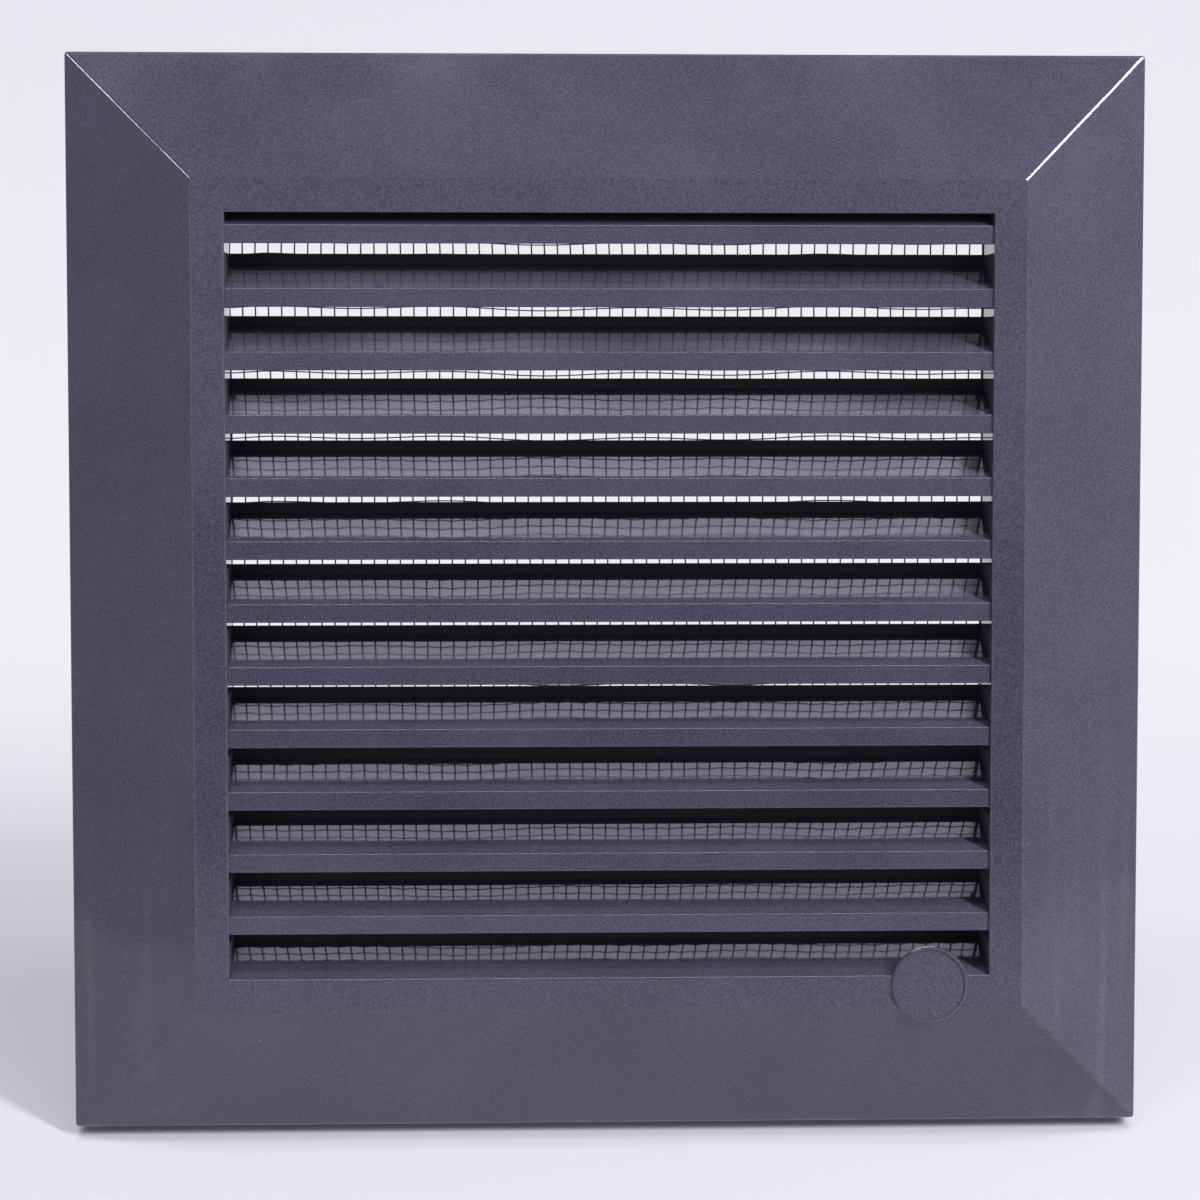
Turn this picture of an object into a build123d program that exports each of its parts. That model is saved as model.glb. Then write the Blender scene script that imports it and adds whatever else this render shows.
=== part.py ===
"""Square louvred wall vent: a moulded grille with fixed rain slats and an insect net behind them.

The wall face is the plane y = 0 with the origin at its centre. The vent stands out towards -Y, +X is to the
right when it is looked at from the front, and +Z is up.
"""

import os
from math import hypot

from build123d import *

# Frame: a straight rim on the wall, then a mitred slope up to a flat ring
frame_size = 140.0
rim_depth = 5.0
bezel_rise = 9.0
bezel_width = 16.75
ring_width = 4.25
shell_wall = 2.0
rim_corner_radius = 0.45
ring_corner_radius = 0.35
rim_edge_radius = 0.4
ring_edge_radius = 0.3
opening_edge_radius = 0.25

# Louvre box: the four walls behind the opening, which carry the slats and the net
box_wall = 1.6

# Slats: a sloping web that rises towards the wall, with an upstand along its rear edge
slat_count = 12
first_slat_drop = 1.55
slat_face_height = 2.45
slat_edge_radius = 0.2
web_depth = 8.0
lip_height = 1.3
lip_thickness = 0.9
shutoff_gap = 0.85
slat_setback = 0.4

# Round boss over the ring at the lower right, with a shallow dish in its face
boss_diameter = 9.85
boss_inset = 7.7
boss_drop = 1.2
boss_proud = 0.4
boss_rim = 0.35
boss_dish = 0.2
boss_bite = 0.5
boss_plate = 0.8
boss_edge_chamfer = 0.15

# Insect net and the heat stakes that hold it on the rear edge of the louvre box
net_thickness = 0.4
net_clearance = 0.2
net_cells = 10
net_bar = 1.3
stake_diameter = 1.0
stake_hole_clearance = 0.15
stake_head_diameter = 2.6
stake_head_height = 0.8
stake_head_taper = 30.0
stakes_per_side = 2
stake_spacing = 60.0

# Sizes that follow from those above
total_depth = rim_depth + bezel_rise
ring_size = frame_size - 2 * bezel_width
opening = ring_size - 2 * ring_width
slat_pitch = (opening - first_slat_drop) / slat_count
web_rise = slat_pitch - slat_face_height - lip_height - shutoff_gap
web_slope = web_rise / web_depth
slat_depth = web_depth + lip_thickness
louvre_depth = slat_setback + slat_depth + net_clearance
box_size = opening + 2 * box_wall
net_height = total_depth - louvre_depth
stake_line = (opening + box_wall) / 2

# The hollow keeps one wall thickness under the rim, the slope and the ring
slope_run = hypot(bezel_width, bezel_rise) / bezel_width * shell_wall
hollow_rim = frame_size - 2 * shell_wall
hollow_rim_depth = rim_depth + shell_wall * bezel_rise / bezel_width - slope_run
hollow_top = total_depth - shell_wall
hollow_top_size = hollow_rim - 2 * (hollow_top - hollow_rim_depth) * bezel_width / bezel_rise

# The boss reaches past the ring and over the slope, so it goes back far enough to meet both
boss_overhang = max(0.0, boss_diameter / 2 + boss_drop - ring_width)
boss_root = boss_overhang * bezel_rise / bezel_width + boss_bite
boss_centre = (opening / 2 - boss_inset, -opening / 2 - boss_drop)


def wall_plane(height):
    """Plane parallel to the wall, at a height out from it, facing the room."""
    return Plane.XZ.offset(height)


def slat_outline():
    """Points of one slat's section, as (depth behind its face, height above its front edge)."""
    return [
        (0.0, 0.0),
        (web_depth, web_rise),
        (web_depth, web_rise + lip_height),
        (slat_depth, web_rise + lip_height),
        (slat_depth, slat_depth * web_slope - slat_face_height),
        (0.0, -slat_face_height),
    ]


def slat_places():
    """Front top edge of each slat and of the sill, as (depth, height) in a section across the slats."""
    first_edge = opening / 2 - first_slat_drop
    return [(slat_setback - total_depth, first_edge - row * slat_pitch) for row in range(slat_count + 1)]


# Slats and sill, trimmed to the middle of the louvre box's walls
with BuildPart() as louvres:
    with BuildSketch(Plane.YZ.offset(-opening / 2 - box_wall / 2)) as sections:
        with Locations(*slat_places()):
            Polygon(*slat_outline(), align=None)
        front_corners = sections.vertices().group_by(Axis.X)[0]
        fillet(front_corners, radius=slat_edge_radius)
    extrude(amount=opening + box_wall)
    with BuildSketch(wall_plane(net_height)):
        Rectangle(opening + box_wall, opening + box_wall)
    extrude(amount=louvre_depth, mode=Mode.INTERSECT)

# Grille: the whole moulding
with BuildPart() as grille:
    # Rim and mitred slope
    with BuildSketch(wall_plane(0)):
        RectangleRounded(frame_size, frame_size, rim_corner_radius)
    extrude(amount=rim_depth)
    with BuildSketch(wall_plane(rim_depth)):
        RectangleRounded(frame_size, frame_size, rim_corner_radius)
    with BuildSketch(wall_plane(total_depth)):
        RectangleRounded(ring_size, ring_size, ring_corner_radius)
    loft(ruled=True)
    ring_edges = grille.faces().sort_by(Axis.Y)[0].edges()
    fillet(ring_edges, radius=ring_edge_radius)
    rim_edges = grille.edges().filter_by_position(Axis.Y, -rim_depth, -rim_depth)
    fillet(rim_edges, radius=rim_edge_radius)

    # Hollow behind the rim, the slope and the ring
    with BuildSketch(wall_plane(0)):
        Rectangle(hollow_rim, hollow_rim)
    extrude(amount=hollow_rim_depth, mode=Mode.SUBTRACT)
    with BuildSketch(wall_plane(hollow_rim_depth)):
        Rectangle(hollow_rim, hollow_rim)
    with BuildSketch(wall_plane(hollow_top)):
        Rectangle(hollow_top_size, hollow_top_size)
    loft(ruled=True, mode=Mode.SUBTRACT)

    # Louvre box and the square opening through it
    with BuildSketch(wall_plane(net_height)):
        Rectangle(box_size, box_size)
    extrude(amount=louvre_depth - shell_wall / 2)
    with BuildSketch(wall_plane(net_height)):
        Rectangle(opening, opening)
    extrude(amount=louvre_depth, mode=Mode.SUBTRACT)
    ring_face = grille.faces().filter_by(Axis.Y).sort_by(Axis.Y)[0]
    fillet(ring_face.inner_wires()[0].edges(), radius=opening_edge_radius)

    # Slats
    add(louvres.part)

    # Boss, a thin plate where it stands over the opening
    with BuildSketch(wall_plane(total_depth + boss_proud)):
        with Locations(boss_centre):
            Circle(boss_diameter / 2)
    extrude(amount=-boss_plate)
    with BuildSketch(wall_plane(total_depth)):
        with Locations(boss_centre):
            Circle(boss_diameter / 2)
        Rectangle(opening, opening, mode=Mode.SUBTRACT)
    extrude(amount=-boss_root)
    boss_face = grille.faces().filter_by(Axis.Y).sort_by(Axis.Y)[0]
    chamfer(boss_face.edges(), length=boss_edge_chamfer)
    with BuildSketch(wall_plane(total_depth + boss_proud)):
        with Locations(boss_centre):
            Circle(boss_diameter / 2 - boss_rim)
    extrude(amount=-boss_dish, mode=Mode.SUBTRACT)

    # Heat stakes with their formed heads
    with BuildSketch(wall_plane(net_height)):
        with PolarLocations(stake_line, 4):
            with GridLocations(stake_spacing, stake_spacing, 1, stakes_per_side):
                Circle(stake_diameter / 2)
    extrude(amount=-net_thickness)
    with BuildSketch(wall_plane(net_height - net_thickness)):
        with PolarLocations(stake_line, 4):
            with GridLocations(stake_spacing, stake_spacing, 1, stakes_per_side):
                Circle(stake_head_diameter / 2)
    extrude(amount=-stake_head_height, taper=stake_head_taper)

# Insect net: one thin wall of square cells, pierced by the stakes
with BuildPart() as insect_mesh:
    cell_pitch = opening / net_cells
    with BuildSketch(wall_plane(net_height)):
        Rectangle(box_size, box_size)
        with GridLocations(cell_pitch, cell_pitch, net_cells, net_cells):
            Rectangle(cell_pitch - net_bar, cell_pitch - net_bar, mode=Mode.SUBTRACT)
        with PolarLocations(stake_line, 4):
            with GridLocations(stake_spacing, stake_spacing, 1, stakes_per_side):
                Circle(stake_diameter / 2 + stake_hole_clearance, mode=Mode.SUBTRACT)
    extrude(amount=-net_thickness)

os.makedirs("parts", exist_ok=True)
grille.part.label = "grille"
insect_mesh.part.label = "insect_mesh"
export_step(grille.part, "parts/grille.step")
export_step(insect_mesh.part, "parts/insect_mesh.step")
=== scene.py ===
"""Dresses the louvred wall vent in graphite plastic, weaves its insect net and sets up a pale studio."""

import logging
import math
import random
from dataclasses import dataclass, field
from enum import Enum
from typing import Any, Union

import bmesh
import bpy
from mathutils import Matrix, Vector

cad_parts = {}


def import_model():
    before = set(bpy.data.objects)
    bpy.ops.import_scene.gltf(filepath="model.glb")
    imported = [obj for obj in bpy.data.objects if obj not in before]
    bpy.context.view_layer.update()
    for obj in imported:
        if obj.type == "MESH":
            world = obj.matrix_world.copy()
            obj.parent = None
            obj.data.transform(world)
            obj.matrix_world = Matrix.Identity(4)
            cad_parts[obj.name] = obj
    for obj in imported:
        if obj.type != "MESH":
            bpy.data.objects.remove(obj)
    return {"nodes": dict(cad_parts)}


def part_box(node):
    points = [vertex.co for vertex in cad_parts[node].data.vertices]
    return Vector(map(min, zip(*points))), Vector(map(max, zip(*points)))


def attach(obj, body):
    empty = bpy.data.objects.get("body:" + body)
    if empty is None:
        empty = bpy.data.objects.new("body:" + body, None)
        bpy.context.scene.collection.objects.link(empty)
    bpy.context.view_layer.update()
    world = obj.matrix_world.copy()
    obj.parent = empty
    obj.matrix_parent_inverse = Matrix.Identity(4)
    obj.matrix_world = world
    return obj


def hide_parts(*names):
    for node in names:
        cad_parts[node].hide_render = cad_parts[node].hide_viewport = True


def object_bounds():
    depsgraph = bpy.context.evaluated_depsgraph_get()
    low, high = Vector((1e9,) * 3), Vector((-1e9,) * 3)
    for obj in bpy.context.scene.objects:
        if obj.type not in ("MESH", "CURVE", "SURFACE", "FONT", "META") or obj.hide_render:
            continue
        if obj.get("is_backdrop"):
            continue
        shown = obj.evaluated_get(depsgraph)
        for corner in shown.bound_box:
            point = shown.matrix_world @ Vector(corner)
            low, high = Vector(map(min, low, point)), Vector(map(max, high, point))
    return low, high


LOG = logging.getLogger("louvred_vent")
MM = 0.001

Colour = tuple[float, float, float]
Point = tuple[float, float, float]
Band = tuple[float, float]
Number = Union[int, float]


class Wire:
    """A shader value whose arithmetic adds Math nodes to its tree."""

    def __init__(self, tree: "ShaderTree", socket: bpy.types.NodeSocket) -> None:
        """Wraps one output socket of a tree."""
        self.tree = tree
        self.socket = socket

    def other(self, output: str) -> "Wire":
        """Another output of the node that this value comes from."""
        return Wire(self.tree, self.socket.node.outputs[output])

    def larger(self, other: "Wire") -> "Wire":
        """The greater of two values."""
        return self._math("MAXIMUM", self, other)

    def fraction(self) -> "Wire":
        """What the value has above its whole part."""
        return self._math("FRACT", self, 0.0)

    def _math(self, operation: str, left: Any, right: Any) -> "Wire":
        """One Math node on two values."""
        return self.tree.node("ShaderNodeMath", {"operation": operation}, {0: left, 1: right})

    def __add__(self, other: Union["Wire", Number]) -> "Wire":
        """Sum."""
        return self._math("ADD", self, other)

    __radd__ = __add__

    def __sub__(self, other: Union["Wire", Number]) -> "Wire":
        """Difference."""
        return self._math("SUBTRACT", self, other)

    def __rsub__(self, other: Number) -> "Wire":
        """Difference from a number."""
        return self._math("SUBTRACT", other, self)

    def __mul__(self, other: Union["Wire", Number]) -> "Wire":
        """Product."""
        return self._math("MULTIPLY", self, other)

    __rmul__ = __mul__

    def __gt__(self, other: Number) -> "Wire":
        """1 where the value is the greater, else 0."""
        return self._math("GREATER_THAN", self, other)

    def __lt__(self, other: Number) -> "Wire":
        """1 where the value is the lesser, else 0."""
        return self._math("LESS_THAN", self, other)

    def __abs__(self) -> "Wire":
        """Size without sign."""
        return self._math("ABSOLUTE", self, 0.0)


class ShaderTree:
    """A node tree that is written as Python expressions."""

    def __init__(self, owner: Union[bpy.types.Material, bpy.types.World]) -> None:
        """Empties the owner's tree.

        Args:
            owner: the material or world that the tree belongs to.
        """
        owner.use_nodes = True
        self.nodes = owner.node_tree.nodes
        self.links = owner.node_tree.links
        self.nodes.clear()

    def node(
        self,
        kind: str,
        settings: Union[dict[str, Any], None] = None,
        inputs: Union[dict[Union[str, int], Any], None] = None,
        output: Union[str, int] = 0,
    ) -> Wire:
        """Adds one node.

        Args:
            kind: the node's type, such as ShaderNodeTexNoise.
            settings: its properties, set first.
            inputs: a number, colour or Wire for each socket, by name or place.
            output: the output to return, by name or place.

        Returns:
            That output.
        """
        made = self.nodes.new(kind)
        for name, value in (settings or {}).items():
            setattr(made, name, value)
        for name, value in (inputs or {}).items():
            if isinstance(value, Wire):
                self.links.new(value.socket, made.inputs[name])
            else:
                made.inputs[name].default_value = value
        return Wire(self, made.outputs[output]) if made.outputs else Wire(self, made.inputs[0])

    def axes(self, place: Wire) -> tuple[Wire, Wire, Wire]:
        """The three coordinates of a place."""
        across = self.node("ShaderNodeSeparateXYZ", {}, {"Vector": place}, "X")
        return across, across.other("Y"), across.other("Z")

    def mix(self, factor: Any, first: Any, second: Any) -> Wire:
        """A colour between two, by factor.

        Args:
            factor: 0 gives the first colour, 1 the second.
            first: a colour with alpha, or a Wire.
            second: a colour with alpha, or a Wire.

        Returns:
            The mixed colour.
        """
        return self.node("ShaderNodeMix", {"data_type": "RGBA"}, {0: factor, 6: first, 7: second}, 2)

    def noise(self, place: Wire, size: float, detail: float = 2.0) -> Wire:
        """Smooth noise about 0.5.

        Args:
            place: coordinates in metres.
            size: the width of its features, in metres.
            detail: how many finer octaves it has.

        Returns:
            A value from about 0.25 to 0.75.
        """
        return self.node("ShaderNodeTexNoise", {}, {"Vector": place, "Scale": 1.0 / size, "Detail": detail})

    def ramp(self, value: Wire, low: float, high: float, start: float = 0.0, end: float = 1.0) -> Wire:
        """A smooth step from start to end as the value goes from low to high."""
        return self.node(
            "ShaderNodeMapRange",
            {"interpolation_type": "SMOOTHSTEP"},
            {"Value": value, "From Min": low, "From Max": high, "To Min": start, "To Max": end},
        )


def solid(colour: Colour) -> tuple[float, float, float, float]:
    """A colour with full alpha."""
    return (*colour, 1.0)


@dataclass(frozen=True)
class GraphitePlastic:
    """Semi-gloss moulded graphite plastic with a fine grain, slow ripples and a little dust.

    The slopes carry finer waves and faint wipe marks, and the faces deep in the opening are rough and
    painted darker as shade.
    """

    base: Colour = (0.0370, 0.0366, 0.0590)
    worn: Colour = (0.0645, 0.0634, 0.0990)
    sheen: Colour = (0.96, 0.95, 1.0)
    ior: float = 1.60
    roughness: float = 0.065
    mottle_size: float = 16 * MM
    mottle_share: float = 0.25
    grain_size: float = 0.22 * MM
    grain_height: float = 0.004 * MM
    grain_strength: float = 0.12
    ripple_size: float = 24 * MM
    ripple_height: float = 0.12 * MM
    slope_start: float = 53.25 * MM
    slope_ease: float = 4 * MM
    slope_ripple: float = 1.3
    smear_size: float = 3 * MM
    smear_draw: float = 0.06
    smear_inner: float = 55.25 * MM
    smear_outer: float = 58.25 * MM
    smear_top: float = -12 * MM
    smear_full: float = -34 * MM
    smear_coat: float = 0.5
    smear_roughness: float = 0.08
    # painted shade: the darker colour given to the faces deep in the opening
    painted_shade: Colour = (0.016, 0.016, 0.023)
    core_roughness: float = 0.93
    core_start: float = -5.75 * MM
    core_ease: float = 0.1 * MM
    core_reach: float = 49.2 * MM
    wall_start: float = 48.85 * MM
    wall_front: float = -13.6 * MM
    first_slat: float = 47.45 * MM
    slat_pitch: float = 8.04 * MM
    web_share: float = 0.575
    dust: Colour = (0.62, 0.61, 0.66)
    speck_cell: float = 7.5 * MM
    speck_radius: float = 0.13 * MM
    speck_rarity: float = 0.62
    speck_roughness: float = 0.4

    def material(self) -> bpy.types.Material:
        """Builds the plastic.

        Returns:
            The material, on Object coordinates.
        """
        made = bpy.data.materials.new("graphite_plastic")
        tree = ShaderTree(made)
        place = tree.node("ShaderNodeTexCoord", output="Object")
        mottle = tree.noise(place, self.mottle_size, 3.0)
        grain = tree.noise(place, self.grain_size, 1.0)
        ripple = tree.noise(place, self.ripple_size, 0.0) + self._waves(tree, place)
        speck = self._specks(tree, place)
        painted_shade = self._painted_shade_faces(tree, place)

        shade = tree.ramp(mottle * self.mottle_share + grain * (1.0 - self.mottle_share), 0.36, 0.64)
        colour = tree.mix(shade, solid(self.base), solid(self.worn))
        colour = tree.mix(speck, colour, solid(self.dust))
        # painted shade: the faces deep in the opening are darkened here
        colour = tree.mix(painted_shade, colour, solid(self.painted_shade))
        gloss = tree.ramp(mottle, 0.3, 0.7, self.roughness - 0.015, self.roughness + 0.02)
        roughness = gloss + speck * self.speck_roughness + painted_shade * self.core_roughness

        slow = tree.node(
            "ShaderNodeBump", {}, {"Strength": 1.0, "Distance": self.ripple_height, "Height": ripple}
        )
        fine = tree.node(
            "ShaderNodeBump",
            {},
            {
                "Strength": self.grain_strength,
                "Distance": self.grain_height,
                "Height": grain,
                "Normal": slow,
            },
        )
        skin = tree.node(
            "ShaderNodeBsdfPrincipled",
            {},
            {
                "Base Color": colour,
                "Roughness": roughness,
                "Normal": fine,
                "IOR": self.ior,
                "Specular Tint": solid(self.sheen),
                "Coat Weight": self._smears(tree, place) * self.smear_coat,
                "Coat Roughness": self.smear_roughness,
            },
        )
        tree.node("ShaderNodeOutputMaterial", {}, {"Surface": skin})
        return made

    def _waves(self, tree: ShaderTree, place: Wire) -> Wire:
        """The finer waves of the frame's slopes, which break up what they mirror.

        Args:
            tree: the plastic's tree.
            place: coordinates in metres.

        Returns:
            Their height, 0 inside the ring's outer edge.
        """
        across, _, up = tree.axes(place)
        outward = abs(across).larger(abs(up))
        slope_end = self.slope_start + self.slope_ease
        slope = tree.ramp(outward, self.slope_start, slope_end, 0.0, self.slope_ripple)
        return (tree.noise(place, self.ripple_size, 2.0) - 0.5) * slope

    def _smears(self, tree: ShaderTree, place: Wire) -> Wire:
        """Faint upright wipe marks, low on the frame's side slopes.

        Args:
            tree: the plastic's tree.
            place: coordinates in metres.

        Returns:
            1 on a mark, 0 elsewhere.
        """
        stretch = (1.0, 1.0, self.smear_draw)
        drawn = tree.node("ShaderNodeVectorMath", {"operation": "MULTIPLY"}, {0: place, 1: stretch})
        across, _, up = tree.axes(place)
        side = tree.ramp(abs(across), self.smear_inner, self.smear_outer)
        low = tree.ramp(up, self.smear_top, self.smear_full)
        return tree.ramp(tree.noise(drawn, self.smear_size, 1.0), 0.48, 0.66) * side * low

    def _painted_shade_faces(self, tree: ShaderTree, place: Wire) -> Wire:
        """The faces deep in the opening, behind the slats' webs and at their ends, which are rough and
        painted darker as shade.

        Args:
            tree: the plastic's tree.
            place: coordinates in metres.

        Returns:
            1 on those faces, 0 elsewhere.
        """
        across, back, up = tree.axes(place)
        # mask of the painted shade: the faces behind the webs and the side walls beside them
        inside = (abs(across) < self.core_reach) * (abs(up) < self.core_reach)
        deep = tree.ramp(back, self.core_start, self.core_start + self.core_ease)
        beside_web = ((up - self.first_slat) * (1.0 / self.slat_pitch)).fraction() < self.web_share
        wall = (abs(across) > self.wall_start) * (back > self.wall_front) * beside_web
        return inside * deep.larger(wall)

    def _specks(self, tree: ShaderTree, place: Wire) -> Wire:
        """Sparse round dust specks, one in a few cells.

        Args:
            tree: the plastic's tree.
            place: coordinates in metres.

        Returns:
            1 on a speck, 0 elsewhere.
        """
        cells = tree.node("ShaderNodeTexVoronoi", {}, {"Vector": place, "Scale": 1.0 / self.speck_cell})
        tint = tree.node("ShaderNodeSeparateColor", {}, {"Color": cells.other("Color")})
        radius = self.speck_radius / self.speck_cell
        return tree.ramp(cells, radius, 0.6 * radius) * (tint > self.speck_rarity)


@dataclass(frozen=True)
class NetFibre:
    """Dark coated fibre of the insect net."""

    base: Colour = (0.09, 0.09, 0.10)
    pale: Colour = (0.20, 0.20, 0.21)
    roughness: float = 0.25
    roughness_range: float = 0.12
    patch_size: float = 3 * MM
    patch_share: float = 0.6
    twist_size: float = 0.3 * MM
    twist_height: float = 0.02 * MM
    twist_strength: float = 0.3

    def material(self) -> bpy.types.Material:
        """Builds the fibre.

        Returns:
            The material, on Object coordinates.
        """
        made = bpy.data.materials.new("net_fibre")
        tree = ShaderTree(made)
        place = tree.node("ShaderNodeTexCoord", output="Object")
        patch = tree.noise(place, self.patch_size)
        twist = tree.noise(place, self.twist_size)
        shade = tree.ramp(patch * self.patch_share + twist * (1.0 - self.patch_share), 0.35, 0.65)
        colour = tree.mix(shade, solid(self.base), solid(self.pale))
        bump = tree.node(
            "ShaderNodeBump",
            {},
            {"Strength": self.twist_strength, "Distance": self.twist_height, "Height": twist},
        )
        roughness = patch * self.roughness_range + self.roughness
        skin = tree.node(
            "ShaderNodeBsdfPrincipled",
            {},
            {"Base Color": colour, "Roughness": roughness, "Normal": bump},
        )
        tree.node("ShaderNodeOutputMaterial", {}, {"Surface": skin})
        return made


@dataclass(frozen=True)
class StudioPaper:
    """Pale matt paper of the floor and backdrop."""

    base: Colour = (0.530, 0.517, 0.558)
    pale: Colour = (0.572, 0.559, 0.604)
    glow: Colour = (0.90, 0.880, 0.940)
    cloud_size: float = 0.25
    floor_share: float = 0.38
    mirror_share: float = 1.0
    backdrop_share: float = 0.92
    backdrop_band: Band = (0.03, 0.18)
    top_share: float = 0.80
    top_band: Band = (0.02, 0.16)
    # where the glow is held off under the vent's foot, as painted contact shade
    foot_middle: float = -2.0 * MM
    foot_band: Band = (3.0 * MM, 4.5 * MM)
    foot_width: float = 140.0 * MM
    foot_end_band: Band = (-1.0 * MM, 0.3 * MM)

    def material(self) -> bpy.types.Material:
        """Builds the paper, which looks pale to the camera and in reflections and still takes shadows.

        Returns:
            The material.
        """
        made = bpy.data.materials.new("studio_paper")
        tree = ShaderTree(made)
        place = tree.node("ShaderNodeTexCoord", output="Object")
        colour = tree.mix(tree.noise(place, self.cloud_size), solid(self.base), solid(self.pale))
        ray = tree.node("ShaderNodeLightPath", output="Is Camera Ray")
        mirrored = ray.other("Is Glossy Ray") + ray.other("Is Transmission Ray")
        seen = ray * self._share(tree, place) + mirrored * self.mirror_share
        matt = tree.node("ShaderNodeBsdfDiffuse", {}, {"Color": colour})
        glow = tree.node("ShaderNodeEmission", {}, {"Color": solid(self.glow), "Strength": 1.0})
        mixed = tree.node("ShaderNodeMixShader", {}, {0: seen, 1: matt, 2: glow})
        tree.node("ShaderNodeOutputMaterial", {}, {"Surface": mixed})
        return made

    def _share(self, tree: ShaderTree, place: Wire) -> Wire:
        """How much of the paper's own paleness the camera sees.

        Args:
            tree: the paper's tree.
            place: coordinates in metres.

        Returns:
            The share, which rises towards the backdrop and is 0 in the narrow gap under the vent's foot, a
            painted deepening of the rendered contact shadow there.
        """
        across, back, up = tree.axes(place)
        share = tree.ramp(back, *self.backdrop_band, self.floor_share, self.backdrop_share)
        share = share * tree.ramp(up, *self.top_band, 1.0, self.top_share)
        # painted shade: no glow in the narrow gap under the vent's foot, so the paper's rendered contact
        # shadow there shows at full depth
        near = tree.ramp(abs(back - self.foot_middle), *self.foot_band, 1.0, 0.0)
        under = near * tree.ramp(abs(across) - self.foot_width / 2, *self.foot_end_band, 1.0, 0.0)
        return share * (1.0 - under)


class Thread(Enum):
    """The two sets of strands in the net."""

    WARP = "upright"
    WEFT = "level"


@dataclass
class Slack:
    """One slow wave by which the net's strands wander in its plane."""

    reach: float
    length: float
    slant: float
    phase: float

    def at(self, along: float, across: float) -> float:
        """How far a strand stands aside at a place on the net."""
        return self.reach * math.sin(2 * math.pi * (along + self.slant * across) / self.length + self.phase)


@dataclass
class InsectNet:
    """The woven net that lies on the rear edge of the louvre box."""

    low: Vector
    high: Vector
    pitch: float = 1.69 * MM
    warp_radius: float = 0.110 * MM
    weft_radius: float = 0.085 * MM
    sides: int = 5
    steps_per_cell: int = 2
    held_margin: float = 6 * MM
    warp_slack: float = 0.16 * MM
    weft_slack: float = 0.32 * MM
    least_slack: float = 0.6
    wave_lengths_mm: Band = (24, 62)
    wave_slants: Band = (-0.6, 0.6)
    wave_count: int = 3
    seed: int = 11
    waves: dict[Thread, list[Slack]] = field(default_factory=dict)

    def __post_init__(self) -> None:
        """Draws the net's slow waves."""
        draw = random.Random(self.seed)
        for thread in Thread:
            reach = self.weft_slack if thread is Thread.WEFT else self.warp_slack
            self.waves[thread] = [
                Slack(
                    reach * draw.uniform(self.least_slack, 1.0),
                    draw.uniform(*self.wave_lengths_mm) * MM,
                    draw.uniform(*self.wave_slants),
                    draw.uniform(0, 2 * math.pi),
                )
                for _ in range(self.wave_count)
            ]

    @property
    def span(self) -> float:
        """Width of the net."""
        return self.high.x - self.low.x

    @property
    def middle(self) -> Vector:
        """Centre of the net."""
        return (self.low + self.high) / 2

    @property
    def count(self) -> int:
        """How many strands each set has."""
        return int(self.span / self.pitch)

    def build(self) -> bpy.types.Object:
        """Weaves the net.

        Returns:
            The net, at its place on the louvre box.
        """
        mesh = bpy.data.meshes.new("insect_net")
        weave = bmesh.new()
        for thread in Thread:
            template = self._strand(self._radius(thread))
            for index in range(self.count):
                self._lay(weave, template, thread, index)
            bpy.data.meshes.remove(template)
        for face in weave.faces:
            face.smooth = True
        weave.to_mesh(mesh)
        weave.free()
        net = bpy.data.objects.new("insect_net", mesh)
        bpy.context.collection.objects.link(net)
        return net

    def _radius(self, thread: Thread) -> float:
        """How thick the strands of a set are."""
        return self.warp_radius if thread is Thread.WARP else self.weft_radius

    def _strand(self, radius: float) -> bpy.types.Mesh:
        """One straight upright strand about the origin, cut into short lengths.

        Args:
            radius: its radius.

        Returns:
            The strand's mesh.
        """
        strand = bmesh.new()
        bmesh.ops.create_cone(
            strand,
            cap_ends=True,
            segments=self.sides,
            radius1=radius,
            radius2=radius,
            depth=self.span,
        )
        long_edges = [edge for edge in strand.edges if edge.calc_length() > self.span / 2]
        bmesh.ops.subdivide_edges(strand, edges=long_edges, cuts=self.count * self.steps_per_cell)
        mesh = bpy.data.meshes.new("net_strand")
        strand.to_mesh(mesh)
        strand.free()
        return mesh

    def _lay(self, weave: bmesh.types.BMesh, template: bpy.types.Mesh, thread: Thread, index: int) -> None:
        """Lays one strand into the weave, over and under the strands that it crosses.

        Args:
            weave: the net so far.
            template: a straight upright strand.
            thread: the set that the strand belongs to.
            index: its place in that set.
        """
        before = len(weave.verts)
        weave.from_mesh(template)
        weave.verts.ensure_lookup_table()
        half_count = (self.count - 1) / 2
        across = (index - half_count) * self.pitch
        over = 1 if (index % 2 == 0) == (thread is Thread.WARP) else -1
        for vert in weave.verts[before:]:
            along = vert.co.z
            ease = self._slackness(along) * self._slackness(across)
            aside = across + ease * sum(wave.at(along, across) for wave in self.waves[thread])
            lift = over * self.weft_radius * math.cos(math.pi * (along / self.pitch + half_count))
            depth = vert.co.y + lift
            if thread is Thread.WARP:
                vert.co = self.middle + Vector((aside + vert.co.x, depth, along))
            else:
                vert.co = self.middle + Vector((along, depth, aside + vert.co.x))

    def _slackness(self, place: float) -> float:
        """0 at the held edges of the net, 1 well inside it."""
        inside = (self.span / 2 - abs(place)) / self.held_margin
        return max(0.0, min(1.0, inside))

    def dress(self, net: bpy.types.Object, finish: NetFibre) -> None:
        """Gives the net its fibre and its place in the frame.

        Args:
            net: the woven net.
            finish: its fibre.
        """
        net.data.materials.append(finish.material())
        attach(net, "root")
        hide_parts("insect_mesh")


@dataclass
class Grille:
    """The moulding: frame, slats and boss, which keep the shape of their solid."""

    node: bpy.types.Object

    def dress(self, finish: GraphitePlastic) -> None:
        """Gives the moulding its plastic.

        Args:
            finish: the plastic.
        """
        material = finish.material()
        for slot in self.node.material_slots:
            slot.material = material


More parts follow.
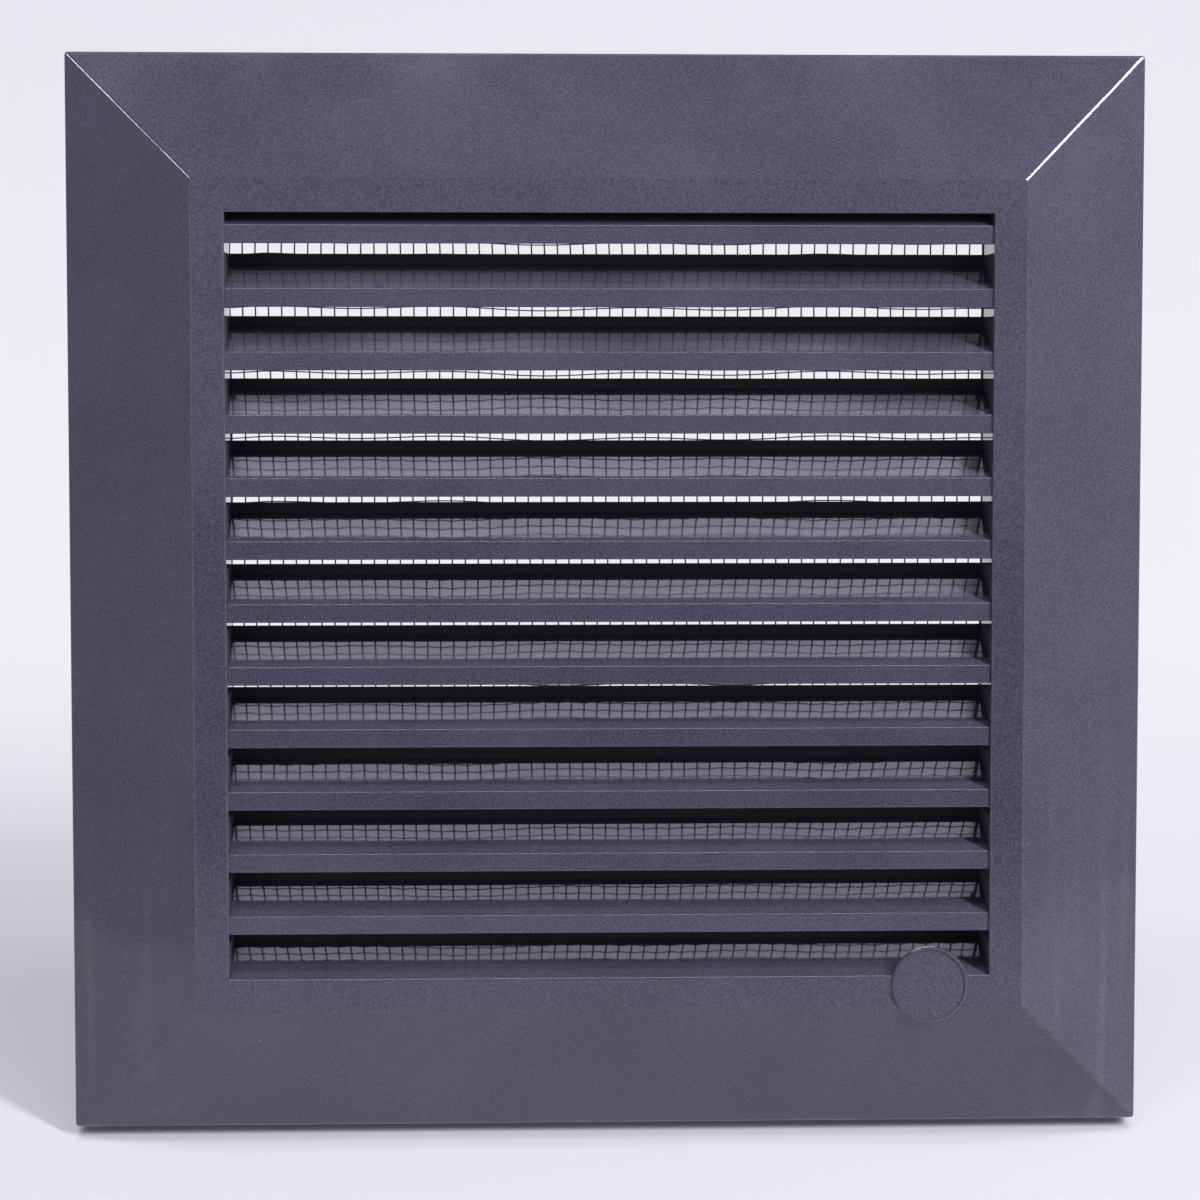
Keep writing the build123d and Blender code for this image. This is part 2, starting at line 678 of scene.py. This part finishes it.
@dataclass(frozen=True)
class SoftPanel:
    """One soft lamp."""

    name: str
    place: Point
    width: float
    height: float
    watts: float
    aim: Point = (0.0, 0.0, 0.0)
    colour: Colour = (1.0, 0.985, 1.0)

    def build(self) -> bpy.types.Object:
        """Hangs the lamp.

        Returns:
            The lamp.
        """
        data = bpy.data.lights.new(self.name, "AREA")
        data.shape = "RECTANGLE"
        data.size = self.width
        data.size_y = self.height
        data.energy = self.watts
        data.color = self.colour
        lamp = bpy.data.objects.new(self.name, data)
        lamp.location = self.place
        lamp.rotation_euler = (Vector(self.aim) - Vector(self.place)).to_track_quat("-Z", "Y").to_euler()
        bpy.context.collection.objects.link(lamp)
        return lamp


@dataclass
class Studio:
    """Sweep of pale paper on which the vent leans back, soft lamps and the camera."""

    vent_foot: float
    paper_width: float = 1.8
    paper_front: float = -0.30
    paper_back: float = 0.50
    cove_radius: float = 0.20
    backdrop_rise: float = 0.10
    cove_steps: int = 16
    stand_off: float = 0.15 * MM
    lean: float = math.radians(16)
    camera_place: Point = (-0.01628, -0.41404, 0.02560)
    camera_aim: Point = (-0.00140, -0.01400, -0.00025)
    camera_lens: float = 94.08
    camera_sensor: float = 36.0
    camera_clip: float = 0.01
    room_low: Colour = (0.16, 0.155, 0.18)
    room_front: Colour = (0.07, 0.07, 0.08)
    front_band: Band = (-0.80, -0.93)
    room_right: Colour = (0.52, 0.51, 0.57)
    right_band: Band = (0.55, 0.90)
    room_left: Colour = (0.51, 0.52, 0.63)
    left_band: Band = (-0.55, -0.85)
    room_table: Colour = (0.60, 0.59, 0.64)
    table_band: Band = (-0.135, -0.17)
    room_high: Colour = (0.30, 0.29, 0.34)
    high_band: Band = (0.77, 0.92)
    room_seen: Colour = (0.90, 0.880, 0.940)
    lamps: tuple[SoftPanel, ...] = (
        SoftPanel("key_panel", (0.624, -0.635, 0.556), 0.12, 0.60, 13.4),
        SoftPanel("left_panel", (-0.601, -0.637, 0.586), 0.05, 0.05, 0.33),
        SoftPanel(
            "rear_panel",
            (0.032, 0.5155, 0.667),
            0.298,
            0.167,
            0.204,
            aim=(0.032, 0.5155, 0.0),
            colour=(0.96, 0.93, 1.12),
        ),
        SoftPanel("top_panel", (0.0, -0.28, 0.80), 0.50, 0.12, 2.8),
        SoftPanel("front_card", (0.0, -1.5, 0.115), 1.6, 0.29, 0.44),
        SoftPanel("left_card", (-0.574, -0.819, 0.0), 0.70, 0.45, 0.80),
        SoftPanel("right_card", (0.574, -0.819, 0.0), 0.70, 0.45, 0.70),
    )

    @property
    def floor_height(self) -> float:
        """Height of the paper, just clear of the vent."""
        return self.vent_foot - self.stand_off

    def build(self) -> None:
        """Sets up the paper, the lamps, the room and the camera."""
        self._paper()
        for lamp in self.lamps:
            lamp.build()
        self._room()
        self._camera()
        bpy.context.scene.view_settings.view_transform = "Standard"

    def _paper(self) -> None:
        """Lays the sheet of paper that curves up into the backdrop."""
        paper = bmesh.new()
        half = self.paper_width / 2
        front = [paper.verts.new((side, self.paper_front, self.floor_height)) for side in (-half, half)]
        edge = paper.edges.new(front)
        edge = self._pull(paper, edge, Vector((0.0, self.paper_back - self.paper_front, 0.0)))
        spun = bmesh.ops.spin(
            paper,
            geom=[edge, *edge.verts],
            cent=(0.0, self.paper_back, self.floor_height + self.cove_radius),
            axis=(1.0, 0.0, 0.0),
            angle=math.radians(90),
            steps=self.cove_steps,
        )
        top = next(item for item in spun["geom_last"] if isinstance(item, bmesh.types.BMEdge))
        self._pull(paper, top, Vector((0.0, 0.0, self.backdrop_rise)))
        self._set_down(paper, "paper_sweep", StudioPaper().material())

    def _set_down(self, shape: bmesh.types.BMesh, name: str, material: bpy.types.Material) -> None:
        """Tips a level shape to the vent's lean and makes it a stage piece.

        Args:
            shape: its mesh, which is used up.
            name: its name.
            material: its material.
        """
        for face in shape.faces:
            face.smooth = True
        foot = (0.0, 0.0, self.floor_height)
        bmesh.ops.rotate(shape, verts=shape.verts, cent=foot, matrix=Matrix.Rotation(self.lean, 3, "X"))
        mesh = bpy.data.meshes.new(name)
        shape.to_mesh(mesh)
        shape.free()
        mesh.materials.append(material)
        piece = bpy.data.objects.new(name, mesh)
        bpy.context.collection.objects.link(piece)
        piece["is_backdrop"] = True

    @staticmethod
    def _pull(paper: bmesh.types.BMesh, edge: bmesh.types.BMEdge, way: Vector) -> bmesh.types.BMEdge:
        """Draws a face out of an edge.

        Args:
            paper: the mesh.
            edge: the edge to draw out.
            way: how far it goes.

        Returns:
            The new edge.
        """
        drawn = bmesh.ops.extrude_edge_only(paper, edges=[edge])["geom"]
        verts = [item for item in drawn if isinstance(item, bmesh.types.BMVert)]
        bmesh.ops.translate(paper, verts=verts, vec=way)
        edges = [item for item in drawn if isinstance(item, bmesh.types.BMEdge)]
        return next(item for item in edges if set(item.verts) == set(verts))

    def _room(self) -> None:
        """Makes the room round the paper, which the camera sees as pale."""
        world = bpy.data.worlds.new("room")
        bpy.context.scene.world = world
        tree = ShaderTree(world)
        across, back, up = tree.axes(tree.node("ShaderNodeTexCoord", output="Generated"))
        room = tree.mix(tree.ramp(back, *self.front_band), solid(self.room_low), solid(self.room_front))
        room = tree.mix(tree.ramp(across, *self.right_band), room, solid(self.room_right))
        room = tree.mix(tree.ramp(across, *self.left_band), room, solid(self.room_left))
        room = tree.mix(tree.ramp(up, *self.table_band), room, solid(self.room_table))
        room = tree.mix(tree.ramp(up, *self.high_band), room, solid(self.room_high))
        ray = tree.node("ShaderNodeLightPath", output="Is Camera Ray")
        colour = tree.mix(ray, room, solid(self.room_seen))
        light = tree.node("ShaderNodeBackground", {}, {"Color": colour, "Strength": 1.0})
        tree.node("ShaderNodeOutputWorld", {}, {"Surface": light})

    def _camera(self) -> None:
        """Places the camera at the photograph's view."""
        data = bpy.data.cameras.new("camera")
        data.lens = self.camera_lens
        data.sensor_width = self.camera_sensor
        data.clip_start = self.camera_clip
        camera = bpy.data.objects.new("camera", data)
        camera.location = self.camera_place
        look = Vector(self.camera_aim) - Vector(self.camera_place)
        camera.rotation_euler = look.to_track_quat("-Z", "Y").to_euler()
        bpy.context.collection.objects.link(camera)
        bpy.context.scene.camera = camera


def main() -> None:
    """Loads the frame, dresses the vent and sets up the studio."""
    logging.basicConfig(level=logging.INFO, format="%(name)s: %(message)s")
    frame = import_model()
    cad_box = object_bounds()

    grille = Grille(frame["nodes"]["grille"])
    grille.dress(GraphitePlastic())
    LOG.info("grille dressed in graphite plastic")

    low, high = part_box("insect_mesh")
    weaver = InsectNet(Vector(low), Vector(high))
    net = weaver.build()
    weaver.dress(net, NetFibre())
    LOG.info("insect net woven with %d faces", len(net.data.polygons))

    Studio(vent_foot=cad_box[0][2]).build()
    LOG.info("studio ready")


if __name__ == "__main__":
    main()
